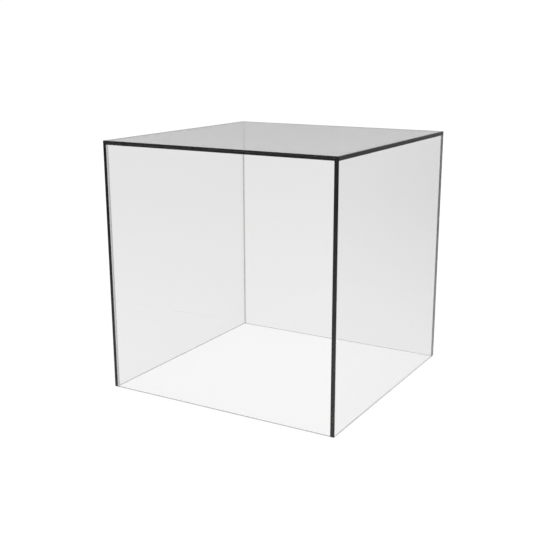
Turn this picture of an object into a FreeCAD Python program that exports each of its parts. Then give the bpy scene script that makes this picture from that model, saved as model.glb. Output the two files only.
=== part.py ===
"""Clear acrylic display cube: a five-sided cover of flat sheet, open at the bottom.

Frame: millimetres, +Z up, the front faces -Y and +X is to its right.
The origin is the middle of the footprint, on the plane that the bottom rim rests on.

The side panels run the full depth, the front and back panels are held between them, and the top
panel lies over the ends of all four walls. Cured cement fills each of the eight joints.
"""

import FreeCAD
import Part
import Sketcher
import math
import os

# Driving dimensions, in millimetres
DIMENSIONS = {
    "outer_width": 200.0,  # along X, over the side panels
    "outer_depth": 200.0,  # along Y, over the front and back panels
    "outer_height": 200.0,  # along Z, from the rim to the top face
    "sheet_gauge": 3.0,  # thickness of every panel
    "arris_radius": 0.3,  # rounding of the polished edges that a hand can touch
    "film_gauge": 0.1,  # thickness of the cement between two panels
    "film_setback": 0.3,  # the cement stops this far inside the outer faces and the rim
    "bead_leg": 0.5,  # leg of the concave bead of cement in an inside corner
}

# Lengths that follow from them, as spreadsheet expressions
INSIDE_WIDTH = "(dims.outer_width - 2 * dims.sheet_gauge)"
INSIDE_DEPTH = "(dims.outer_depth - 2 * dims.sheet_gauge)"
INSIDE_HEIGHT = "(dims.outer_height - dims.sheet_gauge)"
WALL_HEIGHT = f"({INSIDE_HEIGHT} - dims.film_gauge)"
END_PANEL_WIDTH = f"({INSIDE_WIDTH} - 2 * dims.film_gauge)"
FILM_REACH = "(dims.sheet_gauge - dims.film_setback)"
UPRIGHT_SEAM_LENGTH = f"({INSIDE_HEIGHT} - dims.bead_leg - dims.film_setback)"
UPRIGHT_SEAM_MIDDLE = f"(dims.film_setback + {UPRIGHT_SEAM_LENGTH} / 2)"

SAME = 1e-6  # two coordinates closer than this are equal
LEFT = FreeCAD.Vector(-1, 0, 0)
RIGHT = FreeCAD.Vector(1, 0, 0)
FRONT = FreeCAD.Vector(0, -1, 0)
BACK = FreeCAD.Vector(0, 1, 0)
UP = FreeCAD.Vector(0, 0, 1)

doc = FreeCAD.newDocument("display_cube")
doc.UseHasher = False  # full element names, so that a fillet finds its edges again after a change of size


def add_spreadsheet():
    """One named cell for each driving dimension."""
    sheet = doc.addObject("Spreadsheet::Sheet", "dims")
    for row, (name, value) in enumerate(DIMENSIONS.items(), start=1):
        sheet.set(f"A{row}", name)
        sheet.set(f"B{row}", str(value))
        sheet.setAlias(f"B{row}", name)
    doc.recompute()


# --- sketches ---------------------------------------------------------------------------------------


def add_sketch(body, name, plane_role):
    """An empty sketch on one of the body's own origin planes."""
    sketch = body.newObject("Sketcher::SketchObject", name)
    plane = next(f for f in body.Origin.OriginFeatures if f.Role == plane_role)
    sketch.AttachmentSupport = [(plane, "")]
    sketch.MapMode = "FlatFace"
    return sketch


def bind_length(sketch, kind, geometry, name, expression):
    """A named distance between the ends of a line, driven by an expression."""
    index = sketch.addConstraint(Sketcher.Constraint(kind, geometry, 1, geometry, 2, 1.0))
    sketch.renameConstraint(index, name)
    sketch.setExpression(f"Constraints.{name}", expression)


def draw_rectangle(sketch, across, upward, anchor):
    """A rectangle, its lines numbered bottom, right, top, left from the lower left corner.

    anchor says where the sketch's origin is: "centre", "bottom_middle" or "lower_right".
    """
    corners = [FreeCAD.Vector(x, y, 0) for x, y in ((-1, -1), (1, -1), (1, 1), (-1, 1))]
    for index, corner in enumerate(corners):
        sketch.addGeometry(Part.LineSegment(corner, corners[(index + 1) % 4]), False)
    for index in range(4):
        sketch.addConstraint(Sketcher.Constraint("Coincident", index, 2, (index + 1) % 4, 1))
        level = "Horizontal" if index % 2 == 0 else "Vertical"
        sketch.addConstraint(Sketcher.Constraint(level, index))
    if anchor == "centre":
        sketch.addConstraint(Sketcher.Constraint("Symmetric", 0, 1, 1, 2, -1, 1))
    elif anchor == "bottom_middle":
        sketch.addConstraint(Sketcher.Constraint("Symmetric", 0, 1, 0, 2, -1, 1))
    else:
        sketch.addConstraint(Sketcher.Constraint("Coincident", 0, 2, -1, 1))
    bind_length(sketch, "DistanceX", 0, "across", across)
    bind_length(sketch, "DistanceY", 1, "upward", upward)


def draw_bead(sketch, leg):
    """The bead's section: two legs from the origin, joined by an arc that is tangent to both."""
    corner = FreeCAD.Vector(0, 0, 0)
    foot = FreeCAD.Vector(1, 0, 0)
    head = FreeCAD.Vector(0, 1, 0)
    circle = Part.Circle(foot + head, UP, 1)
    sketch.addGeometry(Part.LineSegment(corner, foot), False)
    sketch.addGeometry(Part.ArcOfCircle(circle, math.pi, 1.5 * math.pi), False)
    sketch.addGeometry(Part.LineSegment(corner, head), False)
    sketch.addConstraint(Sketcher.Constraint("Coincident", 0, 1, -1, 1))
    sketch.addConstraint(Sketcher.Constraint("Coincident", 2, 1, -1, 1))
    sketch.addConstraint(Sketcher.Constraint("Horizontal", 0))
    sketch.addConstraint(Sketcher.Constraint("Vertical", 2))
    sketch.addConstraint(Sketcher.Constraint("Tangent", 0, 2, 1, 2))
    sketch.addConstraint(Sketcher.Constraint("Tangent", 2, 2, 1, 1))
    bind_length(sketch, "DistanceX", 0, "leg", leg)


# --- features ---------------------------------------------------------------------------------------


def add_pad(body, sketch, length, **settings):
    """A pad of the sketch, its length driven by an expression."""
    pad = body.newObject("PartDesign::Pad", f"{sketch.Name}_pad")
    pad.Profile = sketch
    for name, value in settings.items():
        setattr(pad, name, value)
    pad.setExpression("Length", length)
    sketch.Visibility = False
    doc.recompute()
    return pad


def ease_edges(body, base, is_eased):
    """Rounds the edges that is_eased picks, given the two ends of each."""
    names = [
        f"Edge{number}"
        for number, edge in enumerate(base.Shape.Edges, start=1)
        if is_eased(edge.firstVertex().Point, edge.lastVertex().Point)
    ]
    fillet = body.newObject("PartDesign::Fillet", f"{body.Name}_arris")
    fillet.Base = (base, names)
    fillet.setExpression("Radius", "dims.arris_radius")
    doc.recompute()
    return fillet


def place(body, position, rotation):
    """Puts a body at a position of three expressions, turned by a rotation."""
    body.Placement.Rotation = rotation
    for axis, expression in zip("xyz", position):
        body.setExpression(f"Placement.Base.{axis}", expression)


def new_body(name):
    body = doc.addObject("PartDesign::Body", name)
    body.Label = name
    return body


# --- panels -----------------------------------------------------------------------------------------


def add_top_panel():
    """The lid. Its upper edges and its short upright corner edges are eased."""
    body = new_body("top_panel")
    outline = add_sketch(body, "top_panel_outline", "XY_Plane")
    draw_rectangle(outline, "dims.outer_width", "dims.outer_depth", "centre")
    pad = add_pad(body, outline, "dims.sheet_gauge")
    ease_edges(body, pad, lambda start, end: max(start.z, end.z) > SAME)
    place(body, ("0", "0", INSIDE_HEIGHT), FreeCAD.Rotation())


def add_wall_panel(name, width, outward, ends_show):
    """A wall, drawn facing the front with its outer face on its own XZ plane, then turned outward.

    Its rim is eased. A panel whose ends show also has its outer upright edges eased.
    """
    body = new_body(name)
    outline = add_sketch(body, f"{name}_outline", "XZ_Plane")
    draw_rectangle(outline, width, WALL_HEIGHT, "bottom_middle")
    pad = add_pad(body, outline, "dims.sheet_gauge", Reversed=True)

    def is_eased(start, end):
        on_rim = max(start.z, end.z) < SAME
        on_outer_face = max(start.y, end.y) < SAME
        upright = abs(start.z - end.z) > SAME
        across_the_sheet = abs(start.y - end.y) > SAME
        if ends_show:
            return on_rim or (on_outer_face and upright)
        return on_rim and not across_the_sheet

    ease_edges(body, pad, is_eased)
    position = (
        f"{outward.x} * dims.outer_width / 2",
        f"{outward.y} * dims.outer_depth / 2",
        "0",
    )
    inward = -outward
    place(body, position, FreeCAD.Rotation(inward.cross(UP), inward, UP, "ZYX"))


# --- cement seams -----------------------------------------------------------------------------------


def add_seam(name, film_length, bead_length, position, inward, away):
    """A film of cement between two panels, with a bead along the inside corner.

    The section's origin is the inside corner. inward points from the outer face into the box, along
    the film. away points away from the panel that the film lies on.
    """
    body = new_body(name)
    film = add_sketch(body, f"{name}_film", "XY_Plane")
    draw_rectangle(film, FILM_REACH, "dims.film_gauge", "lower_right")
    add_pad(body, film, film_length, SideType="Symmetric")
    bead = add_sketch(body, f"{name}_bead", "XY_Plane")
    draw_bead(bead, "dims.bead_leg")
    add_pad(body, bead, bead_length, SideType="Symmetric")
    place(body, position, FreeCAD.Rotation(inward, away, inward.cross(away), "ZYX"))


def add_upright_seam(name, side, end):
    """The joint between the face of a side panel and the edge of the front or back panel."""
    position = (
        f"{side.x} * {INSIDE_WIDTH} / 2",
        f"{end.y} * {INSIDE_DEPTH} / 2",
        UPRIGHT_SEAM_MIDDLE,
    )
    add_seam(name, UPRIGHT_SEAM_LENGTH, UPRIGHT_SEAM_LENGTH, position, -end, -side)


def add_top_seam(name, outward):
    """The joint between the top edge of a wall and the underside of the top panel.

    The films over the side panels run the full depth, and the other two lie between them.
    """
    position = (
        f"{outward.x} * {INSIDE_WIDTH} / 2",
        f"{outward.y} * {INSIDE_DEPTH} / 2",
        INSIDE_HEIGHT,
    )
    if outward in (LEFT, RIGHT):
        film_length = "(dims.outer_depth - 2 * dims.film_setback)"
        bead_length = INSIDE_DEPTH
    else:
        film_length = INSIDE_WIDTH
        bead_length = f"({INSIDE_WIDTH} - 2 * dims.bead_leg)"
    add_seam(name, film_length, bead_length, position, -outward, -UP)


# --- the whole cube ---------------------------------------------------------------------------------


def check_and_export():
    """Stops on a failed feature or a bad solid, and otherwise writes each body to its own file."""
    doc.recompute()
    for item in doc.Objects:
        if "Invalid" in item.State or "Error" in item.State:
            raise RuntimeError(f"{item.Label} failed to recompute: {item.State}")
    bodies = [item for item in doc.Objects if item.TypeId == "PartDesign::Body"]
    for body in bodies:
        shape = body.Shape
        if shape.isNull() or not shape.isValid() or len(shape.Solids) != 1:
            raise RuntimeError(f"{body.Label} isn't one valid solid")
    os.makedirs("parts", exist_ok=True)
    for body in bodies:
        body.Shape.exportStep(f"parts/{body.Label}.step")


add_spreadsheet()
add_top_panel()
add_wall_panel("front_panel", END_PANEL_WIDTH, FRONT, ends_show=False)
add_wall_panel("back_panel", END_PANEL_WIDTH, BACK, ends_show=False)
add_wall_panel("left_panel", "dims.outer_depth", LEFT, ends_show=True)
add_wall_panel("right_panel", "dims.outer_depth", RIGHT, ends_show=True)
add_upright_seam("front_left_seam", LEFT, FRONT)
add_upright_seam("front_right_seam", RIGHT, FRONT)
add_upright_seam("back_left_seam", LEFT, BACK)
add_upright_seam("back_right_seam", RIGHT, BACK)
add_top_seam("top_front_seam", FRONT)
add_top_seam("top_back_seam", BACK)
add_top_seam("top_left_seam", LEFT)
add_top_seam("top_right_seam", RIGHT)
check_and_export()
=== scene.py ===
"""Looks of the clear acrylic display cube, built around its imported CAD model.

The five CAD sheets stay as they are and get a clear acrylic material. The cement seams between them
are rebuilt here as films and beads of uneven width, run in by hand, where the CAD ones are even.
"""

import math

import bmesh
import bpy
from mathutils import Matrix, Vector, noise


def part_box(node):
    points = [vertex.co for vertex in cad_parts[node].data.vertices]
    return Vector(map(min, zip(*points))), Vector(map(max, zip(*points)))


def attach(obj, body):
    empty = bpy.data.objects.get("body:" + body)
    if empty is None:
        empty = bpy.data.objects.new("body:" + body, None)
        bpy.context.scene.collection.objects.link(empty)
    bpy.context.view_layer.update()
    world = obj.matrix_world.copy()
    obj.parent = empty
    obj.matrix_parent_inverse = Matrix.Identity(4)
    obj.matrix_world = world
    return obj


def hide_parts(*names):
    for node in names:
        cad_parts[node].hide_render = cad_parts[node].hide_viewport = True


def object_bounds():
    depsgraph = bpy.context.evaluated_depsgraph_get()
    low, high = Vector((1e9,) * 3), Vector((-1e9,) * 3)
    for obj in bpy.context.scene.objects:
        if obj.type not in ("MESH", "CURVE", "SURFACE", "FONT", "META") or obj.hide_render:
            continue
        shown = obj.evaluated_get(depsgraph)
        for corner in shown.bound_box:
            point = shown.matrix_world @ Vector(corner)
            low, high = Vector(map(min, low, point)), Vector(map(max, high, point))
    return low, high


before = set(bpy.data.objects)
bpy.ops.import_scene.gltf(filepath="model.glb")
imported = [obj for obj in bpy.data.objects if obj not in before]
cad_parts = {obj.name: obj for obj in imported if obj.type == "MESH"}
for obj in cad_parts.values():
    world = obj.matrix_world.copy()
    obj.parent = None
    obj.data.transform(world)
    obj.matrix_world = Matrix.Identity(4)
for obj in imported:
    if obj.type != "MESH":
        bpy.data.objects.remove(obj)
cad_low, cad_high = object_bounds()

MM = 0.001
PANELS = ("top_panel", "front_panel", "back_panel", "left_panel", "right_panel")
UPRIGHT_SEAMS = ("front_left_seam", "front_right_seam", "back_left_seam", "back_right_seam")
TOP_SIDE_SEAMS = ("top_left_seam", "top_right_seam")
TOP_END_SEAMS = ("top_front_seam", "top_back_seam")

# Camera, in degrees, metres and millimetres of lens and sensor
CAMERA_AZIMUTH = 29.82
CAMERA_ELEVATION = 14.89
CAMERA_DISTANCE = 0.7448
CAMERA_TARGET = Vector((-0.0016, 0.0, 0.0799))
CAMERA_LENS = 57.14
CAMERA_SENSOR = 36.0

# How bright the studio looks to a ray, by what the ray has met on its way. A brightness that changes
# with the ray's slope is a pair, and its span holds the two slopes, as sines of the elevation.
DIRECT = 1.03
THROUGH_ONE_SHEET = 1.0
THROUGH_MORE_SHEETS = (0.95, 0.87)
THROUGH_MORE_SHEETS_SPAN = (-0.34, -0.13)
MIRRORED_OUTSIDE = (0.90, 0.30)
MIRRORED_OUTSIDE_SPAN = (-0.34, -0.16)
MIRRORED_WITHIN = 0.60
MIRRORED_UPWARDS = 0.62
MIRRORED_UPWARDS_SPAN = (-0.12, -0.02)
TRAPPED = 0.008
TRAPPED_BEYOND_A_SHEET = (TRAPPED, 0.85)
TRAPPED_BEYOND_A_SHEET_SPAN = (0.20, 0.28)
TWICE_MIRRORED = (0.15, TRAPPED)
TWICE_MIRRORED_SPAN = (-0.05, 0.05)

# Floor
FLOOR_HALF_SIDE = 3.0
FLOOR_DROP = 0.2 * MM
FLOOR_SHADE = 0.08  # the share of its white that can take a shadow

# Clear plastics
ACRYLIC_IOR = 1.49
CEMENT_IOR = 1.48
FACE_TINT = 0.985
# painted shade: the cut edges' grey tint stands in for the dark look that light trapped in the sheet
# gives them
EDGE_PAINTED_SHADE = 0.5
CEMENT_TINT = 0.96
BUBBLE_TINT = 0.86
USUAL_NOISE = (0.35, 0.65)  # nearly all of a noise texture's values lie in this range

# Cement seams
FILM_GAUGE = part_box("front_panel")[0].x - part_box("left_panel")[1].x
CAVITY_LOW = (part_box("left_panel")[1].x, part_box("front_panel")[1].y, cad_low.z)
CAVITY_HIGH = (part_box("right_panel")[0].x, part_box("back_panel")[0].y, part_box("top_panel")[0].z)
CLEARANCE = 0.015 * MM  # kept off the sheets, because two clear faces in one plane can't be drawn
FILM_WANDER = 0.35 * MM  # how far the film's outer edge strays inwards
THINNEST_BEAD = 0.72  # the smallest leg of the bead, as a share of the largest
RING_SPACING = 1.5 * MM
ARC_STEPS = 6

# The three edges of a seam that stray, each with its wavelength and its own row of the noise
FILM_EDGE = (6 * MM, 1.0)
BEAD_FOOT = (11 * MM, 2.0)
BEAD_HEAD = (8 * MM, 3.0)


# --- node helpers -----------------------------------------------------------------------------------


def node(tree, kind, inputs=None, **settings):
    """Adds a node. inputs maps a socket's name or number to a value or to another node's output."""
    made = tree.nodes.new(kind)
    for name, value in settings.items():
        setattr(made, name, value)
    for key, value in (inputs or {}).items():
        if isinstance(value, bpy.types.NodeSocket):
            tree.links.new(value, made.inputs[key])
        else:
            made.inputs[key].default_value = value
    return made


def maths(tree, operation, *values):
    return node(tree, "ShaderNodeMath", dict(enumerate(values)), operation=operation).outputs[0]


def remap(tree, value, span, ends, smooth=False):
    """Maps the span's two numbers to the two ends, and holds the ends outside the span."""
    kind = "SMOOTHSTEP" if smooth else "LINEAR"
    inputs = dict(enumerate((value, *span, *ends)))
    return node(tree, "ShaderNodeMapRange", inputs, interpolation_type=kind).outputs[0]


def mix(tree, factor, first, second):
    """first where factor is 0, second where it is 1."""
    inputs = {0: factor, 2: first, 3: second}
    return node(tree, "ShaderNodeMix", inputs, data_type="FLOAT").outputs[0]


def more_than(tree, count, limit):
    """1 where a whole number is above limit, otherwise 0."""
    return maths(tree, "GREATER_THAN", count, limit + 0.5)


def grain(tree, place, size, detail, turn=(0.0, 0.0, 0.0)):
    """Smooth noise around 0.5.

    size is the length of its features along three axes, turned by turn, and detail is how many finer
    layers it has.
    """
    turned = {"Vector": place, "Rotation": turn, "Scale": size}
    vector = node(tree, "ShaderNodeMapping", turned, vector_type="TEXTURE").outputs[0]
    inputs = {"Vector": vector, "Scale": 1.0, "Detail": detail}
    return node(tree, "ShaderNodeTexNoise", inputs).outputs[0]


def spots(tree, place, spacing, core, rim, share):
    """Round spots: 1 within core of a spot's centre, 0 beyond its rim.

    One spot may lie in each cell about spacing wide, and only that share of the cells has one.
    """
    cells = node(tree, "ShaderNodeTexVoronoi", {"Vector": place, "Scale": 1.0 / spacing}).outputs
    spot = remap(tree, cells["Distance"], (core / spacing, rim / spacing), (1.0, 0.0), smooth=True)
    pick = node(tree, "ShaderNodeSeparateColor", {0: cells["Color"]}).outputs[0]
    return maths(tree, "MULTIPLY", spot, maths(tree, "GREATER_THAN", pick, 1.0 - share))


def new_material(name):
    """An empty node material: the material, its node tree and the point in the object being shaded."""
    material = bpy.data.materials.new(name)
    material.use_nodes = True
    tree = material.node_tree
    tree.nodes.clear()
    return material, tree, node(tree, "ShaderNodeTexCoord").outputs["Object"]


def add_clear_surface(tree, tint, roughness, relief, ior, clearness=1.0):
    """A clear plastic surface. relief is how far it stands out, in metres."""
    bump = node(tree, "ShaderNodeBump", {"Height": relief, "Strength": 1.0, "Distance": 1.0})
    inputs = {
        "Base Color": tint,
        "Roughness": roughness,
        "IOR": ior,
        "Transmission Weight": clearness,
        "Normal": bump.outputs[0],
    }
    surface = node(tree, "ShaderNodeBsdfPrincipled", inputs)
    node(tree, "ShaderNodeOutputMaterial", {"Surface": surface.outputs[0]})


# --- studio -----------------------------------------------------------------------------------------


def studio_tone(tree, rise):
    """How bright the white studio looks along a ray. rise is the sine of the ray's elevation.

    The camera sees pure white, and so does a ray through one sheet. Beyond a second sheet the white
    falls off upwards. A ray that a sheet has mirrored sees grey, and one trapped between a sheet's
    faces ends in the dark, which is what draws the cut edges. It ends in the light only if it has
    crossed another sheet and leaves steeply upwards, which keeps the lines at the floor pale.
    """
    faces_of_a_sheet = 2
    light = node(tree, "ShaderNodeLightPath").outputs
    faces_crossed = light["Transmission Depth"]
    crossed_a_face = more_than(tree, faces_crossed, 0)
    crossed_more_sheets = more_than(tree, faces_crossed, faces_of_a_sheet)
    beyond = remap(tree, rise, THROUGH_MORE_SHEETS_SPAN, THROUGH_MORE_SHEETS)
    through = mix(tree, crossed_more_sheets, THROUGH_ONE_SHEET, beyond)
    straight = mix(tree, crossed_a_face, DIRECT, through)
    outside = remap(tree, rise, MIRRORED_OUTSIDE_SPAN, MIRRORED_OUTSIDE)
    downwards = mix(tree, crossed_a_face, outside, MIRRORED_WITHIN)
    upwards = remap(tree, rise, MIRRORED_UPWARDS_SPAN, (0.0, 1.0), smooth=True)
    once = mix(tree, upwards, downwards, MIRRORED_UPWARDS)
    twice = remap(tree, rise, TWICE_MIRRORED_SPAN, TWICE_MIRRORED)
    lit_from_above = remap(tree, rise, TRAPPED_BEYOND_A_SHEET_SPAN, TRAPPED_BEYOND_A_SHEET)
    trapped = mix(tree, crossed_more_sheets, TRAPPED, lit_from_above)
    tone = straight
    for mirrors, seen in enumerate((once, twice, trapped)):
        tone = mix(tree, more_than(tree, light["Glossy Depth"], mirrors), tone, seen)
    return tone


def add_world():
    world = bpy.data.worlds.new("studio")
    world.use_nodes = True
    bpy.context.scene.world = world
    tree = world.node_tree
    tree.nodes.clear()
    direction = node(tree, "ShaderNodeTexCoord").outputs["Generated"]
    rise = node(tree, "ShaderNodeSeparateXYZ", {0: direction}).outputs["Z"]
    background = node(tree, "ShaderNodeBackground", {"Color": studio_tone(tree, rise)})
    node(tree, "ShaderNodeOutputWorld", {"Surface": background.outputs[0]})


def add_floor():
    """A wide pale table just under the rim, seamless with the background."""
    half = FLOOR_HALF_SIDE
    outline = ((-half, -half), (half, -half), (half, half), (-half, half))
    mesh = bpy.data.meshes.new("floor")
    mesh.from_pydata([(x, y, -FLOOR_DROP) for x, y in outline], [], [range(len(outline))])
    floor = bpy.data.objects.new("floor", mesh)
    bpy.context.scene.collection.objects.link(floor)
    material, tree, _ = new_material("floor_paper")
    incoming = node(tree, "ShaderNodeNewGeometry").outputs["Incoming"]
    fall = node(tree, "ShaderNodeSeparateXYZ", {0: incoming}).outputs["Z"]
    tone = studio_tone(tree, maths(tree, "MULTIPLY", fall, -1.0))
    glow = node(tree, "ShaderNodeEmission", {"Color": tone, "Strength": 1.0 - FLOOR_SHADE})
    paper = node(tree, "ShaderNodeBsdfDiffuse", {"Color": (FLOOR_SHADE, FLOOR_SHADE, FLOOR_SHADE, 1.0)})
    both = node(tree, "ShaderNodeAddShader", {0: glow.outputs[0], 1: paper.outputs[0]})
    node(tree, "ShaderNodeOutputMaterial", {"Surface": both.outputs[0]})
    mesh.materials.append(material)


def add_camera():
    data = bpy.data.cameras.new("camera")
    data.lens = CAMERA_LENS
    data.sensor_width = CAMERA_SENSOR
    camera = bpy.data.objects.new("camera", data)
    bpy.context.scene.collection.objects.link(camera)
    azimuth = math.radians(CAMERA_AZIMUTH)
    elevation = math.radians(CAMERA_ELEVATION)
    level = math.cos(elevation)
    back = Vector((math.sin(azimuth) * level, -math.cos(azimuth) * level, math.sin(elevation)))
    camera.location = CAMERA_TARGET + back * CAMERA_DISTANCE
    camera.rotation_mode = "QUATERNION"
    camera.rotation_quaternion = (-back).to_track_quat("-Z", "Y")
    bpy.context.scene.camera = camera


def set_light_paths():
    """Clear sheet needs many bounces, and plain display tones keep the white studio white."""
    bounces = 32
    scene = bpy.context.scene
    scene.view_settings.view_transform = "Standard"
    for name in ("max_bounces", "transmission_bounces", "glossy_bounces", "transparent_max_bounces"):
        setattr(scene.cycles, name, bounces)


# --- acrylic sheet ----------------------------------------------------------------------------------


def hairlines(tree, place, gauge_axis, angle):
    """Sparse hairline scratches that lie in the sheet and run at one angle, 1 on a scratch."""
    width = 0.6 * MM
    length = 55 * MM
    patch_width = 18 * MM
    scratch_levels = (0.72, 0.76)
    patch_levels = (0.55, 0.62)
    size = [width, width, width]
    size[(gauge_axis + 1) % 3] = length
    turn = [0.0, 0.0, 0.0]
    turn[gauge_axis] = angle
    lines = grain(tree, place, size, detail=1.0, turn=turn)
    patches = grain(tree, place, [patch_width] * 3, detail=2.0)
    scratched = remap(tree, lines, scratch_levels, (0.0, 1.0))
    used = remap(tree, patches, patch_levels, (0.0, 1.0))
    return maths(tree, "MULTIPLY", scratched, used)


def face_finish(tree, place, gauge_axis):
    """The roughness, relief and clearness of a sheet's faces.

    They have faint waves from casting, hairlines from wiping in two directions, and a little dust.
    """
    wave_length = 33 * MM
    wave_height = 0.002 * MM
    wiping_angles = (0.5, 1.9)  # in radians
    scratch_roughness = 0.10
    dust_roughness = 0.5
    dust_clouding = 0.35
    first, second = (hairlines(tree, place, gauge_axis, angle) for angle in wiping_angles)
    scratches = maths(tree, "MAXIMUM", first, second)
    dust = spots(tree, place, spacing=4 * MM, core=0.2 * MM, rim=0.35 * MM, share=0.025)
    dusty = maths(tree, "MULTIPLY", dust, dust_roughness)
    roughness = maths(tree, "MULTIPLY_ADD", scratches, scratch_roughness, dusty)
    waves = grain(tree, place, [wave_length] * 3, detail=0.0)
    relief = maths(tree, "MULTIPLY", waves, wave_height)
    clearness = maths(tree, "MULTIPLY_ADD", dust, -dust_clouding, 1.0)
    return roughness, relief, clearness


def edge_finish(tree, place, gauge_axis):
    """The roughness, relief and tint of a sheet's cut edges, polished more in some places than others.

    They have cutter marks that run across the gauge, and a tint of painted shade for the dark look of
    cut edges, darkest between two marks.
    """
    mark_width = 0.45 * MM
    mark_length = 11 * MM
    mark_height = 0.006 * MM
    mark_roughness = (0.05, 0.20)
    stroke = 45 * MM
    size = [mark_width, mark_width, mark_width]
    size[gauge_axis] = mark_length
    marks = grain(tree, place, size, detail=3.0)
    strokes = grain(tree, place, [stroke] * 3, detail=1.0)
    polish = remap(tree, strokes, USUAL_NOISE, mark_roughness)
    roughness = maths(tree, "MULTIPLY", marks, polish)
    relief = maths(tree, "MULTIPLY", marks, mark_height)
    return roughness, relief, mix(tree, marks, EDGE_PAINTED_SHADE, FACE_TINT)


def acrylic(panel):
    """Clear cast sheet for one panel.

    The panel's thinnest side is its gauge, and what lies well inside the gauge is a cut edge. The
    finish changes over on the rounded arris between a face and an edge.
    """
    arris_depths = (0.25 * MM, 0.05 * MM)
    low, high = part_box(panel)
    size = high - low
    gauge_axis = min(range(3), key=lambda axis: size[axis])
    middle = (low[gauge_axis] + high[gauge_axis]) / 2
    half_gauge = size[gauge_axis] / 2
    arris = [half_gauge - depth for depth in arris_depths]

    material, tree, place = new_material(f"acrylic_{panel}")
    across = node(tree, "ShaderNodeSeparateXYZ", {0: place}).outputs[gauge_axis]
    offset = maths(tree, "ABSOLUTE", maths(tree, "SUBTRACT", across, middle))
    on_edge = remap(tree, offset, arris, (1.0, 0.0), smooth=True)
    face_roughness, face_relief, clearness = face_finish(tree, place, gauge_axis)
    # the edge tint is painted shade that darkens the cut edges
    edge_roughness, edge_relief, edge_tint_with_painted_shade = edge_finish(tree, place, gauge_axis)
    add_clear_surface(
        tree,
        tint=mix(tree, on_edge, FACE_TINT, edge_tint_with_painted_shade),
        roughness=mix(tree, on_edge, face_roughness, edge_roughness),
        relief=mix(tree, on_edge, face_relief, edge_relief),
        ior=ACRYLIC_IOR,
        clearness=clearness,
    )
    return material


def dress_panels():
    for name in PANELS:
        material = acrylic(name)
        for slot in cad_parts[name].material_slots:
            slot.material = material


# --- cement seams -----------------------------------------------------------------------------------


def cement():
    """Cured solvent cement: almost as clear as the sheet, a little rippled, with pinhead bubbles."""
    ripple_length = 3 * MM
    ripple_height = 0.012 * MM
    bubble_depth = 0.018 * MM
    ripple_roughness = (0.02, 0.10)
    material, tree, place = new_material("acrylic_cement")
    ripples = grain(tree, place, [ripple_length] * 3, detail=3.0)
    bubbles = spots(tree, place, spacing=1.1 * MM, core=0.11 * MM, rim=0.24 * MM, share=0.15)
    swell = maths(tree, "MULTIPLY", ripples, ripple_height)
    add_clear_surface(
        tree,
        tint=mix(tree, bubbles, CEMENT_TINT, BUBBLE_TINT),
        roughness=remap(tree, ripples, USUAL_NOISE, ripple_roughness),
        relief=maths(tree, "MULTIPLY_ADD", bubbles, -bubble_depth, swell),
        ior=CEMENT_IOR,
    )
    return material


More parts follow.
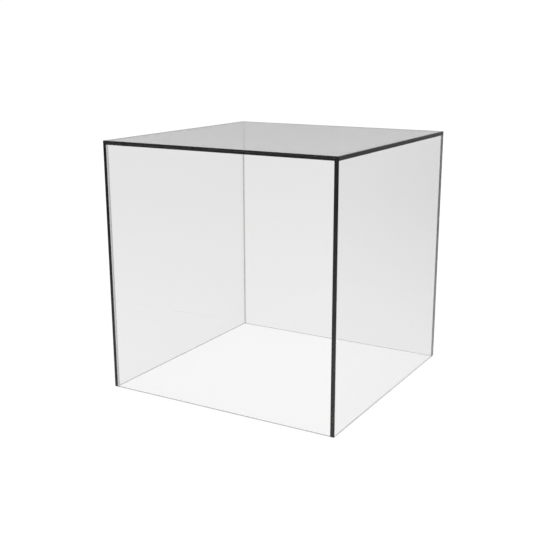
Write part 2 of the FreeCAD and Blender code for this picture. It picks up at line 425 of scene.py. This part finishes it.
class Seam:
    """One cement seam, placed by its CAD box.

    run is the axis along the seam. inward is the axis along the film, from the outer face of the cube
    to its inside, and away is the axis off the panel that the film lies on. Both are measured from the
    inside corner.
    """

    def __init__(self, name):
        seed_spacing = 10.0
        low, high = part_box(name)
        size = high - low
        self.away, self.inward, self.run = sorted(range(3), key=lambda axis: size[axis])
        self.leg = size[self.away]
        self.reach = size[self.inward] - self.leg
        self.start = low[self.run]
        self.end = high[self.run]
        self.meets_side_beads = name in TOP_END_SEAMS
        self.seed = seed_spacing * sorted(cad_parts).index(name)
        self.corner = [0.0, 0.0, 0.0]
        self.sign = [1.0, 1.0, 1.0]
        for axis in (self.away, self.inward):
            on_far_side = low[axis] + high[axis] > cad_low[axis] + cad_high[axis]
            self.sign[axis] = -1.0 if on_far_side else 1.0
            self.corner[axis] = high[axis] if on_far_side else low[axis]
        self.corner[self.inward] += self.sign[self.inward] * self.reach

    def point(self, inward, away, along):
        """A point of the section at a place along the seam."""
        made = list(self.corner)
        made[self.inward] += self.sign[self.inward] * inward
        made[self.away] += self.sign[self.away] * away
        made[self.run] = along
        return made

    def sway(self, along, wavelength, noise_row):
        """A smooth random number from 0 to 1 at a place along the seam."""
        value = noise.noise((along / wavelength, self.seed, noise_row))
        return min(1.0, max(0.0, 0.5 + value))

    def bead_leg(self, along, edge):
        """The leg of the bead at a place along the seam."""
        spare = 1.0 - THINNEST_BEAD
        return self.leg * (THINNEST_BEAD + spare * self.sway(along, *edge))

    def film_section(self, along):
        """A thin slip with a blunt outer edge that strays."""
        edge = -self.reach + FILM_WANDER * self.sway(along, *FILM_EDGE)
        middle = FILM_GAUGE / 2
        bulge = (middle - CLEARANCE) / 2
        return (
            (edge, CLEARANCE),
            (-CLEARANCE, CLEARANCE),
            (-CLEARANCE, FILM_GAUGE - CLEARANCE),
            (edge, FILM_GAUGE - CLEARANCE),
            (edge - bulge, middle),
        )

    def bead_section(self, along):
        """Two legs along the sheets, joined by a hollow curve."""
        foot = self.bead_leg(along, BEAD_FOOT) - CLEARANCE
        head = self.bead_leg(along, BEAD_HEAD) - CLEARANCE
        points = [(CLEARANCE, CLEARANCE)]
        for index in range(ARC_STEPS + 1):
            angle = math.pi / 2 * index / ARC_STEPS
            inward = CLEARANCE + foot * (1 - math.sin(angle))
            away = CLEARANCE + head * (1 - math.cos(angle))
            points.append((inward, away))
        return points

    def bead_ends(self):
        """Where the bead starts and ends: inside the cube, and clear of the beads that it meets."""
        gap = self.leg if self.meets_side_beads else CLEARANCE
        start = max(self.start, CAVITY_LOW[self.run] + gap)
        end = min(self.end, CAVITY_HIGH[self.run] - gap)
        return start, end


def add_swept_shell(build, seam, section, start, end):
    """Sweeps a closed section, a function of the place along the seam, into a closed shell."""
    count = round((end - start) / RING_SPACING)
    rings = []
    for index in range(count + 1):
        along = start + (end - start) * index / count
        rings.append([build.verts.new(seam.point(*corner, along)) for corner in section(along)])
    sides = len(rings[0])
    for first, second in zip(rings, rings[1:]):
        for index in range(sides):
            following = (index + 1) % sides
            build.faces.new((first[index], first[following], second[following], second[index]))
    build.faces.new(reversed(rings[0]))
    build.faces.new(rings[-1])


def add_seam(name, material):
    """One seam: a film between two sheets and a concave bead in the inside corner."""
    crease = math.radians(40)
    seam = Seam(name)
    build = bmesh.new()
    add_swept_shell(build, seam, seam.film_section, seam.start + CLEARANCE, seam.end - CLEARANCE)
    add_swept_shell(build, seam, seam.bead_section, *seam.bead_ends())
    bmesh.ops.recalc_face_normals(build, faces=build.faces)
    mesh = bpy.data.meshes.new(name)
    build.to_mesh(mesh)
    build.free()
    mesh.polygons.foreach_set("use_smooth", [True] * len(mesh.polygons))
    mesh.set_sharp_from_angle(angle=crease)
    mesh.materials.append(material)
    piece = bpy.data.objects.new(name.replace("_seam", "_cement"), mesh)
    bpy.context.scene.collection.objects.link(piece)
    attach(piece, "root")
    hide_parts(name)


# --- the scene --------------------------------------------------------------------------------------

set_light_paths()
add_world()
add_floor()
add_camera()
dress_panels()
cement_material = cement()
for seam_name in UPRIGHT_SEAMS + TOP_SIDE_SEAMS + TOP_END_SEAMS:
    add_seam(seam_name, cement_material)
